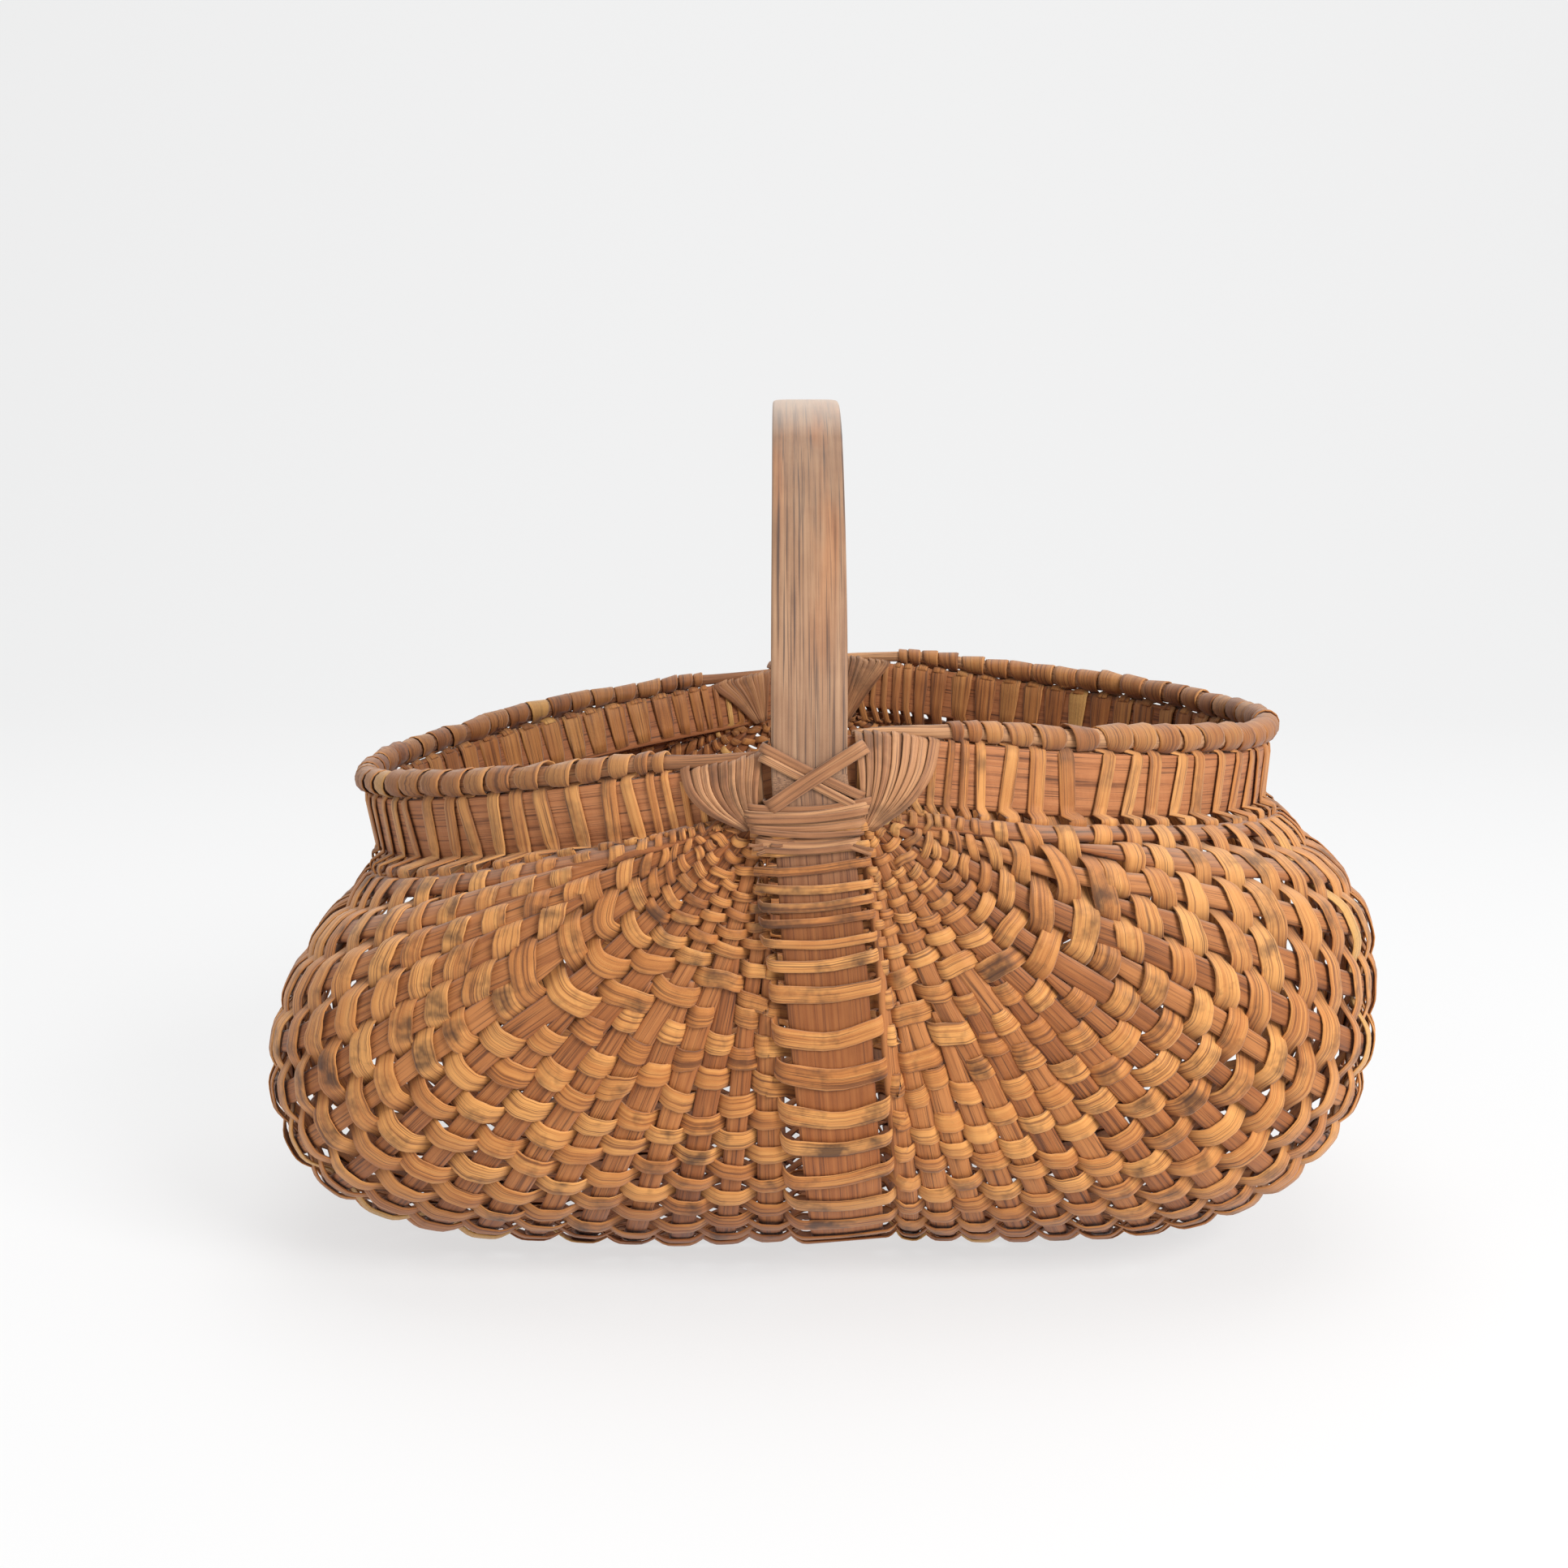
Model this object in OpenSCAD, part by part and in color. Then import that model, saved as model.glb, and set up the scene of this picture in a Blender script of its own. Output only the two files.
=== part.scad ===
// Ribbed splint basket with a fixed overhead handle, in millimetres.
// Z is up and the floor is z = 0. The handle hoop lies in the Y-Z plane, and the two ears,
// where the handle hoop crosses the rim hoop, are at the -Y and +Y ends. Every hoop, rib and
// rod is a flat half loop that runs from one ear to the other and is turned about the ear axis.
// The weavers run crosswise over and under the ribs, from rim to rim.

/* [Body] */
// Half of the distance between the two ears
half_depth = 145; // [130:1:160]
// Height of the ears above the floor
ear_height = 178; // [170:1:190]
// Squareness of the rim's curve, 2 being an ellipse
rim_squareness = 2.1; // [2:0.1:2.4]
// Squareness of the belly's curves
belly_squareness = 3.4; // [2.6:0.1:3.8]

/* [Handle hoop] */
// Height of the handle's top above the ears
handle_rise = 116; // [100:1:130]
// Width of the handle's strip
handle_w = 23; // [18:0.5:26]
// Width of the spine, the part of the hoop under the basket
spine_w = 25; // [20:0.5:28]
// Thickness of the hoop
hoop_t = 4.4; // [3.5:0.1:5.5]
// Angle by which the spine leans off the middle
spine_lean = 4.8; // [0:0.1:6]

/* [Rim] */
// Height of the rim's band
band_h = 20; // [16:0.5:24]
// Thickness of the rim's band
band_t = 3.4; // [2.5:0.1:4.5]
// Diameter of each rim rod at its middle
rod_d = 8; // [6:0.5:9]
// Diameter of a rim rod at its tips
rod_tip_d = 4.5; // [3:0.5:6]

/* [Ribs] */
// Ribs on the left side
ribs_left = 16; // [12:1:16]
// Ribs on the right side
ribs_right = 17; // [12:1:17]
// Width of a rib
rib_w = 7.4; // [6:0.2:8]
// Thickness of a rib
rib_t = 3; // [2.4:0.1:3.6]

/* [Weavers] */
// Weavers from each ear to the middle
rows_half = 24; // [16:2:24]
// Thickness of a weaver
strap_t = 1; // [0.8:0.1:1.2]
// Share of the space between two rows that a weaver fills
strap_fill = 0.86; // [0.7:0.02:0.9]

/* [Show] */
// Piece to show

/* [Hidden] */
// Middle section of each side, from the rim to the spine, as distance out and height
profile_right = [
    [164.5, 164], [168, 152], [182, 139], [196, 124], [201.5, 106], [200.5, 88], [199, 68], [192, 46],
    [178, 29], [160, 16], [139, 7], [115, 2], [88, 0.4], [58, 0.4], [27, 1.5]
];
profile_left = [
    [155, 146], [153.5, 135], [159, 124], [171, 110], [180, 95], [185.5, 79], [188, 62], [186, 46],
    [179, 30], [166, 17.5], [151, 10], [135, 5], [112, 1], [87, 0.4], [50, 0.4], [2, 1.5]
];
crown = rib_t / 2 + strap_t;
weave_swing = rib_t / 2 + strap_t / 2;
centre_shift = -7;
outline_steps = 28;
rows_node = 2;
weaver_nodes = rows_half / rows_node;
fan_wraps = 8;

function total_to(pts, i) = i == 0 ? 0 : total_to(pts, i - 1) + norm(pts[i] - pts[i - 1]);
function find_span(pts, d, i = 1) = (i == len(pts) - 1 || total_to(pts, i) >= d) ? i : find_span(pts, d, i + 1);
function along(pts, f) =
    let (d = f * total_to(pts, len(pts) - 1), i = find_span(pts, d), d0 = total_to(pts, i - 1))
    pts[i - 1] + (pts[i] - pts[i - 1]) * (d - d0) / norm(pts[i] - pts[i - 1]);

// A member is [angle about the ear axis, radius at its middle, squareness, half depth]
function squareness(a) = rim_squareness + (belly_squareness - rim_squareness) * min(1, max(0, (a - 6) / 22));
function member(side, p, inset) =
    let (drop = ear_height - p[1], a = atan2(drop, p[0]))
    [side > 0 ? a : 180 - a, norm([p[0], drop]) - inset, squareness(a), half_depth];
// Ribs stand closer together towards the spine by the share close
function rib_place(i, count, close) = let (x = i / (count - 1)) 0.065 + 0.905 * ((1 + close) * x - close * x * x);
function rib_member(side, i) =
    side > 0
    ? member(1, along(profile_right, rib_place(i, ribs_right, 0.3)), crown)
    : member(-1, along(profile_left, rib_place(i, ribs_left, 0.12)), crown);
rim_right = member(1, profile_right[0], 0);
rim_left = member(-1, profile_left[0], 0);
hoop_depth = half_depth + (band_t + hoop_t) / 2 + 0.2;
spine = [90 - spine_lean, ear_height - 2 - crown, belly_squareness, hoop_depth];
handle = [-90, handle_rise - hoop_t / 2, 2.2, hoop_depth];

// Point, outward normal and direction of a member at angle f, 0 and 180 being the ears
function spread(f, q) = pow(pow(abs(sin(f)), q) + pow(abs(cos(f)), q), -1 / q);
function out_dir(a) = [cos(a), 0, -sin(a)];
function at(m, f) =
    out_dir(m[0]) * m[1] * sin(f) * spread(f, m[2]) + [0, -m[3] * cos(f) * spread(f, m[2]), ear_height];
function unit(v) = v / norm(v);
function heading(m, f) = unit(at(m, f + 0.5) - at(m, f - 0.5));
function across(a) = [sin(a), 0, cos(a)];
function outward(m, f) = cross(heading(m, f), across(m[0]));

// Flat half loop of one member, given by its radius and depth at each face
function loop_points(m, off, steps) =
    [for (i = [0:steps]) let (f = 180 * i / steps, k = spread(f, m[2])) [(m[1] + off) * sin(f) * k, -(m[3] + off) * cos(f) * k]];
function backwards(list) = [for (i = [len(list) - 1:-1:0]) list[i]];
module half_loop(m, t, w) {
    rotate([0, m[0], 0])
        linear_extrude(w, center = true)
            polygon(concat(loop_points(m, t / 2, outline_steps), backwards(loop_points(m, -t / 2, outline_steps))));
}

// Plan that narrows a rib towards the ears, as distance from the ear axis and half width
module taper_plan(a, start, tip, full_at, full) {
    rotate([0, a, 0])
        rotate([90, 0, 0])
            linear_extrude(2 * half_depth + 40, center = true)
                polygon([[start, -tip / 2], [full_at, -full / 2], [320, -full / 2],
                         [320, full / 2], [full_at, full / 2], [start, tip / 2]]);
}

// Distance from the ear axis at which a rib starts, clear of the band above it; every second
// rib starts further out, where the others have spread apart
function turn_from_rim(side, m) = side > 0 ? m[0] - rim_right[0] : rim_left[0] - m[0];
function starts_at(side, i, m) =
    min(88, max((i % 2 == 0) ? 17 : 76, (band_h / 2 + 1) / sin(turn_from_rim(side, m))));
module rib(side, i) {
    m = rib_member(side, i);
    start = starts_at(side, i, m);
    intersection() {
        translate([0, 0, ear_height])
            half_loop(m, rib_t, rib_w);
        translate([0, 0, ear_height])
            taper_plan(m[0], start, 1.8, start + 42, rib_w);
    }
}

// Sweep of a section along a path of frames [centre, side, out], the last two already sized
module sweep(paths, section) {
    n = len(section);
    starts = [for (p = [0:len(paths)]) p == 0 ? 0 : n * len_before(paths, p)];
    points = [for (path = paths) for (fr = path) for (s = section) fr[0] + fr[1] * s[0] + fr[2] * s[1]];
    faces = [for (p = [0:len(paths) - 1]) each tube_faces(starts[p], len(paths[p]) - 1, n)];
    polyhedron(points, faces);
}
function len_before(paths, p) = p == 0 ? 0 : len(paths[p - 1]) + len_before(paths, p - 1);
function tube_faces(o, last, n) = concat(
    [for (i = [0:last - 1]) for (k = [0:n - 1])
        each [[o + i * n + k, o + (i + 1) * n + (k + 1) % n, o + i * n + (k + 1) % n],
              [o + i * n + k, o + (i + 1) * n + k, o + (i + 1) * n + (k + 1) % n]]],
    [for (k = [1:n - 2]) [o, o + k, o + k + 1]],
    [for (k = [1:n - 2]) [o + last * n, o + last * n + k + 1, o + last * n + k]]
);

// Rod on the top edge of the rim's band, tapering to a tip at each ear
function rod_r(f) = (rod_tip_d + (rod_d - rod_tip_d) * min(1, max(0, (min(f, 180 - f) - 6) / 30))) / 2;
function up_of(m) = across(m[0]) * (m[0] > 90 ? -1 : 1);
module rim_rod(m) {
    from = 5.5;
    steps = 30;
    frames = [for (i = [0:steps]) let (f = from + (180 - 2 * from) * i / steps, r = rod_r(f))
        [at(m, f) + up_of(m) * (band_h / 2 + r), up_of(m) * r, outward(m, f) * r]];
    sweep([frames], [for (k = [0:7]) [cos(45 * k), sin(45 * k)]]);
}

// One weaver: rings [centre, along the member, outward] from the right rim to the left rim
function side_sign(j) = (j % 2 == 0) ? 1 : -1;
function row_angle(j) = 9 + 81 * pow((j - 0.5) / rows_half, 1.12);
function half_gap(m, j) = norm(at(m, row_angle(j + 0.5)) - at(m, row_angle(j - 0.5))) * strap_fill / 2;
function ring(m, j, swing) =
    let (f = row_angle(j), o = outward(m, f))
    [at(m, f) + o * swing, heading(m, f) * half_gap(m, j), o * strap_t / 2];
function rim_rings(m, j, s) =
    let (f = row_angle(j), o = outward(m, f), h = heading(m, f) * half_gap(m, j), u = up_of(m),
         r = rod_r(f), c = at(m, f) + u * (band_h / 2 + r), t = strap_t / 2,
         swing = s * ((band_t + strap_t) / 2 + 0.1))
    [[c - o * s * (r + t), h, -o * t],
     [c + u * (r + t), h, u * s * t],
     [c + o * s * (r + t), h, o * t],
     [c - u * (r + band_h) + o * swing, h, o * t]];
function reach(m, f) = m[1] * sin(f) * spread(f, m[2]);
function crossed(j) = let (f = row_angle(j)) concat(
    [for (i = [0:ribs_right - 1]) let (m = rib_member(1, i)) if (reach(m, f) > starts_at(1, i, m) + 3) m],
    [spine],
    [for (i = [ribs_left - 1:-1:0]) let (m = rib_member(-1, i)) if (reach(m, f) > starts_at(-1, i, m) + 3) m]
);
function row_path(j) =
    let (list = crossed(j), n = len(list))
    concat(
        rim_rings(rim_right, j, side_sign(j)),
        [for (k = [0:n - 1])
            let (m = list[k], s = side_sign(k + j + 1))
            each (m == spine
                ? [for (e = [-1, 1]) let (r = ring(m, j, s * (hoop_t + strap_t) / 2))
                    [r[0] - across(m[0]) * e * spine_w / 2, r[1], r[2]]]
                : [ring(m, j, s * weave_swing)])],
        backwards(rim_rings(rim_left, j, side_sign(n + j + 1)))
    );
function mirrored(path) = [for (r = backwards(path)) [[r[0][0], -r[0][1], r[0][2]], [r[1][0], -r[1][1], r[1][2]], [r[2][0], -r[2][1], r[2][2]]]];
module weavers(k) {
    rows = [for (q = [1:rows_node]) row_path((k - 1) * rows_node + q)];
    sweep(concat(rows, [for (r = rows) mirrored(r)]), [[-1, -1], [-1, 1], [1, 1], [1, -1]]);
}

// Ear bindings, each made at the -Y ear
module at_ear(end) {
    if (end > 0)
        mirror([0, 1, 0])
            children();
    else
        children();
}
module closed_loop(w, h, depth) {
    difference() {
        cube([w, depth, h], center = true);
        cube([w - 2.2, depth - 2.2, h + 1], center = true);
    }
}
ear_mid = -(half_depth + 0.2 + hoop_t / 2);
binding_depth = band_t + hoop_t + 2.8;
module cross_lashing() {
    for (s = [-1, 1])
        translate([1.5, ear_mid - 0.6 - 0.6 * s, ear_height])
            rotate([0, 28 * s, 0])
                closed_loop(34, 6, binding_depth + 1.2 * s);
}
module ear_binding() {
    for (i = [0:4])
        translate([0.5, ear_mid, ear_height - 8.6 - 2.9 * i])
            rotate([0, 3 * sin(120 * i), 0])
                closed_loop(40 - 2 * i, 2.5, binding_depth + 0.8);
}
module fan_wrap(side, i) {
    top = 14.5 + 3 * i;
    low = 13 + 1.1 * i;
    drop = 15 + 0.5 * i;
    tilt = side > 0 ? rim_right[0] : 180 - rim_left[0];
    translate([0, -half_depth, ear_height])
        rotate([0, tilt * side, 0])
            intersection() {
                rotate([90, 0, 0])
                    linear_extrude(binding_depth + 4, center = true)
                        polygon([[side * low, -drop], [side * (low + 0.9), -drop],
                                 [side * (top + 2.7), band_h / 2 + 2.5], [side * top, band_h / 2 + 2.5]]);
                translate([0, 0.02 * i * i, 0])
                    rotate([90, 0, 90])
                        linear_extrude(120, center = true)
                            polygon([[-3.1, -16], [-1.9, -16], [-1.9, 10.6], [2.2, 10.6], [2.2, -16],
                                     [3.4, -16], [3.4, 11.8], [-3.1, 11.8]]);
            }
}
module ear_fan(side) {
    for (i = [0:fan_wraps - 1])
        fan_wrap(side, i);
}

module handle_hoop() {
    color([0.55, 0.4, 0.28])
        translate([centre_shift, 0, ear_height]) {
            half_loop(handle, hoop_t, handle_w);
            half_loop(spine, hoop_t, spine_w);
        }
}
module rim_hoop() {
    color([0.5, 0.31, 0.18])
        translate([centre_shift, 0, ear_height]) {
            half_loop(rim_right, band_t, band_h);
            half_loop(rim_left, band_t, band_h);
        }
}
module rod_piece(m) {
    color([0.68, 0.45, 0.25])
        translate([centre_shift, 0, 0])
            rim_rod(m);
}
module rib_piece(side, i) {
    color([0.62, 0.36, 0.2])
        translate([centre_shift, 0, 0])
            rib(side, i);
}
module weaver_piece(k) {
    color([0.76, 0.5, 0.25])
        translate([centre_shift, 0, 0])
            weavers(k);
}
module ear_piece() {
    color([0.7, 0.46, 0.26])
        translate([centre_shift, 0, 0])
            children();
}

handle_hoop();
rim_hoop();
rod_piece(rim_left);  // rim_rod_left
rod_piece(rim_right);  // rim_rod_right
rib_piece(-1, 0);  // rib_left_01
rib_piece(-1, 1);  // rib_left_02
rib_piece(-1, 2);  // rib_left_03
rib_piece(-1, 3);  // rib_left_04
rib_piece(-1, 4);  // rib_left_05
rib_piece(-1, 5);  // rib_left_06
rib_piece(-1, 6);  // rib_left_07
rib_piece(-1, 7);  // rib_left_08
rib_piece(-1, 8);  // rib_left_09
rib_piece(-1, 9);  // rib_left_10
rib_piece(-1, 10);  // rib_left_11
rib_piece(-1, 11);  // rib_left_12
rib_piece(-1, 12);  // rib_left_13
rib_piece(-1, 13);  // rib_left_14
rib_piece(-1, 14);  // rib_left_15
rib_piece(-1, 15);  // rib_left_16
rib_piece(1, 0);  // rib_right_01
rib_piece(1, 1);  // rib_right_02
rib_piece(1, 2);  // rib_right_03
rib_piece(1, 3);  // rib_right_04
rib_piece(1, 4);  // rib_right_05
rib_piece(1, 5);  // rib_right_06
rib_piece(1, 6);  // rib_right_07
rib_piece(1, 7);  // rib_right_08
rib_piece(1, 8);  // rib_right_09
rib_piece(1, 9);  // rib_right_10
rib_piece(1, 10);  // rib_right_11
rib_piece(1, 11);  // rib_right_12
rib_piece(1, 12);  // rib_right_13
rib_piece(1, 13);  // rib_right_14
rib_piece(1, 14);  // rib_right_15
rib_piece(1, 15);  // rib_right_16
rib_piece(1, 16);  // rib_right_17
weaver_piece(1);  // weavers_01
weaver_piece(2);  // weavers_02
weaver_piece(3);  // weavers_03
weaver_piece(4);  // weavers_04
weaver_piece(5);  // weavers_05
weaver_piece(6);  // weavers_06
weaver_piece(7);  // weavers_07
weaver_piece(8);  // weavers_08
weaver_piece(9);  // weavers_09
weaver_piece(10);  // weavers_10
weaver_piece(11);  // weavers_11
weaver_piece(12);  // weavers_12
ear_piece() at_ear(-1) cross_lashing();  // cross_lashing_near
ear_piece() at_ear(-1) ear_binding();  // ear_binding_near
ear_piece() at_ear(-1) ear_fan(-1);  // ear_fan_left_near
ear_piece() at_ear(-1) ear_fan(1);  // ear_fan_right_near
ear_piece() at_ear(1) cross_lashing();  // cross_lashing_far
ear_piece() at_ear(1) ear_binding();  // ear_binding_far
ear_piece() at_ear(1) ear_fan(-1);  // ear_fan_left_far
ear_piece() at_ear(1) ear_fan(1);  // ear_fan_right_far
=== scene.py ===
"""Ribbed splint basket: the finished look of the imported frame, in metres."""
import math
import random

import bpy
import numpy as np
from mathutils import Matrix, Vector


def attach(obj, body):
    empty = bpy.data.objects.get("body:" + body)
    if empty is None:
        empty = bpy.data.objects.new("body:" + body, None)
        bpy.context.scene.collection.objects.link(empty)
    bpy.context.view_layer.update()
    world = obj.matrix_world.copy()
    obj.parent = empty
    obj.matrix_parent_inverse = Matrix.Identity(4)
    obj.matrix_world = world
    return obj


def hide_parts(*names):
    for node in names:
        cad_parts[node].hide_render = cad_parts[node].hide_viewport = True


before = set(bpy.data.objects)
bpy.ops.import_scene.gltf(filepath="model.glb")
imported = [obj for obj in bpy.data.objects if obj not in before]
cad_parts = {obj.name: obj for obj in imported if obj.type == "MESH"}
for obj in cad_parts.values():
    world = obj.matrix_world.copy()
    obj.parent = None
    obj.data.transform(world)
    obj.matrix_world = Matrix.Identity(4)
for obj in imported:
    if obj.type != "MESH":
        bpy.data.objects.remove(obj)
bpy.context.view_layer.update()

MM = 0.001

# ---------------------------------------------------------------- shape, in millimetres
HALF_DEPTH = 145.0
EAR = 178.0
SHIFT_X = -7.0
RIM_SQUARE, BELLY_SQUARE = 2.1, 3.4
HANDLE_RISE = 116.0
HOOP_T, BAND_H, BAND_T = 4.4, 20.0, 3.4
HOOP_DEPTH = HALF_DEPTH + (BAND_T + HOOP_T) / 2 + 0.2
SPINE_LEAN = 4.8
ROD_R, ROD_TIP_R = 3.6, 1.5
RIB_W, RIB_T, STRAP_T = 7.6, 3.0, 0.9
CROWN = RIB_T / 2 + 1.0
ROWS = 96
FIRST_ROW = 16.0
SPINE_HALF = 12.4
EYE = 14.0
RIM_LIFT = 3.2
RIM_GAP = (BAND_T + STRAP_T) / 2 + 0.15
STRAP_FILL = 1.03
STRAP_HALF_MIN, STRAP_HALF_MAX = 1.0, 4.7
RIM_STRAP_HALF = 2.7

PROFILE_RIGHT = [
    (164.5, 164), (168, 152), (182, 139), (196, 124), (201.5, 106), (200.5, 88), (199, 68), (192, 46),
    (178, 29), (160, 16), (139, 7), (115, 2), (88, 0.4), (58, 0.4), (27, 1.5),
]
PROFILE_LEFT = [
    (155, 146), (153.5, 135), (159, 124), (171, 110), (180, 95), (185.5, 79), (188, 62), (186, 46),
    (179, 30), (166, 17.5), (151, 10), (135, 5), (112, 1), (87, 0.4), (50, 0.4), (2, 1.5),
]


def catmull(points, steps=12):
    p = np.array(points, float)
    p = np.vstack([2 * p[0] - p[1], p, 2 * p[-1] - p[-2]])
    out = []
    for i in range(1, len(p) - 2):
        for k in range(steps):
            t = k / steps
            a, b, c, d = p[i - 1], p[i], p[i + 1], p[i + 2]
            out.append(0.5 * (2 * b + (c - a) * t + (2 * a - 5 * b + 4 * c - d) * t ** 2
                              + (3 * b - a - 3 * c + d) * t ** 3))
    out.append(p[-2])
    return np.array(out)


def girth_line():
    """The middle section from the right rim over the spine to the left rim, as x, z and length."""
    spine = (173.5 * math.sin(math.radians(SPINE_LEAN)), EAR - 176 * math.cos(math.radians(SPINE_LEAN)))
    left = [(-x, z) for x, z in reversed(PROFILE_LEFT)]
    line = catmull(PROFILE_RIGHT + [spine] + left)
    s = np.concatenate([[0], np.cumsum(np.linalg.norm(np.diff(line, axis=0), axis=1))])
    at_spine = s[len(PROFILE_RIGHT) * 12]
    return s, line, at_spine


S_TAB, LINE, S_SPINE = girth_line()
S_END = S_TAB[-1]
DROP = EAR - LINE[:, 1]
TH_TAB = np.arctan2(DROP, LINE[:, 0])
R_TAB = np.hypot(DROP, LINE[:, 0])
S_RIGHT = S_TAB[(len(PROFILE_RIGHT) - 1) * 12]
S_LEFT = S_TAB[(len(PROFILE_RIGHT) + 1) * 12]


def squareness(theta):
    a = np.degrees(np.minimum(theta, math.pi - theta))
    return RIM_SQUARE + (BELLY_SQUARE - RIM_SQUARE) * np.clip((a - 6) / 22, 0, 1)


def curve(theta, radius, q, depth, phi):
    """Points of half loops at angle phi from the near ear to the far ear."""
    c, s = np.cos(phi), np.sin(phi)
    k = (np.abs(s) ** q + np.abs(c) ** q) ** (-1 / q)
    r = radius * s * k
    return np.stack([r * np.cos(theta), -depth * c * k, EAR - r * np.sin(theta)], -1)


def lumps(s, phi):
    """Slow unevenness of a hand-made belly."""
    fade = np.clip(s / 40, 0, 1) * np.clip((S_END - s) / 40, 0, 1)
    slow, quick = np.sin(s / 31 + 2.1 * phi), np.sin(s / 17 - 3.7 * phi + 1.3)
    return fade * np.sin(phi) * (1.0 * slow + 0.7 * quick - 0.4)


def past_ear(phi):
    """Angle from the nearer ear."""
    return min(phi, math.pi - phi)


def smooth(x):
    x = np.clip(x, 0, 1)
    return x * x * (3 - 2 * x)


SPINE_TURN = math.radians(90 - SPINE_LEAN)
SPINE_RADIUS = EAR - 2 - CROWN
SPINE_ACROSS = np.array([-math.sin(SPINE_TURN), 0, -math.cos(SPINE_TURN)])


def fan_turn(theta, reach):
    """Angle about the ear axis: close to the ears the weave opens like a fan below the rim's band."""
    hidden = np.arcsin(np.minimum(0.8, (BAND_H / 2 + 2.6) / np.maximum(reach, 1)))
    lift = np.maximum(hidden - math.radians(5.0), 0)
    right = theta < SPINE_TURN
    rim = np.where(right, TH_TAB[0], TH_TAB[-1])
    share = np.clip(np.abs(theta - SPINE_TURN) / np.abs(rim - SPINE_TURN), 0, 1)
    return theta + np.where(right, 1, -1) * lift * share


def belly_raw(s, phi):
    """Middle surface of the weave; the ribs of each side meet at an eye beside the spine."""
    theta = np.interp(s, S_TAB, TH_TAB)
    edge = np.minimum(s, S_END - s)
    radius = np.interp(s, S_TAB, R_TAB) - CROWN * np.clip(edge / 15, 0, 1)
    off_spine = s - S_SPINE
    depth = HALF_DEPTH + (HOOP_DEPTH - HALF_DEPTH) * np.exp(-(off_spine / 24) ** 2)
    p = curve(theta, radius + lumps(s, phi), squareness(theta), depth, phi)
    reach = np.hypot(p[..., 0], EAR - p[..., 2])
    turned = fan_turn(theta, reach)
    p[..., 0], p[..., 2] = reach * np.cos(turned), EAR - reach * np.sin(turned)
    near = 1 - np.clip(np.hypot(p[..., 0], EAR - p[..., 2]) / radius, 0, 1)
    p[..., 0] -= np.sign(off_spine) * EYE * near * np.clip(edge / 30, 0, 1)
    ones = np.ones_like(theta)
    flat = curve(SPINE_TURN * ones, SPINE_RADIUS * ones, BELLY_SQUARE * ones, HOOP_DEPTH * ones, phi)
    flat = flat + SPINE_ACROSS * off_spine[..., None]
    w = 1 - smooth((np.abs(off_spine) - SPINE_HALF) / 12)
    return p + (flat - p) * w[..., None]


def unit(v):
    return v / np.maximum(np.linalg.norm(v, axis=-1, keepdims=True), 1e-9)


def belly(s, phi):
    """Point, direction along the ribs and outward normal of the woven surface."""
    s, phi = np.broadcast_arrays(np.asarray(s, float), np.asarray(phi, float))
    e = 0.006
    p = belly_raw(s, phi)
    along = unit(belly_raw(s, phi + e) - belly_raw(s, phi - e))
    lo, hi = np.maximum(s - 2.5, 0), np.minimum(s + 2.5, S_END)
    girth = unit(belly_raw(hi, phi) - belly_raw(lo, phi))
    out = unit(np.cross(girth, along))
    return p, along, out


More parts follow.
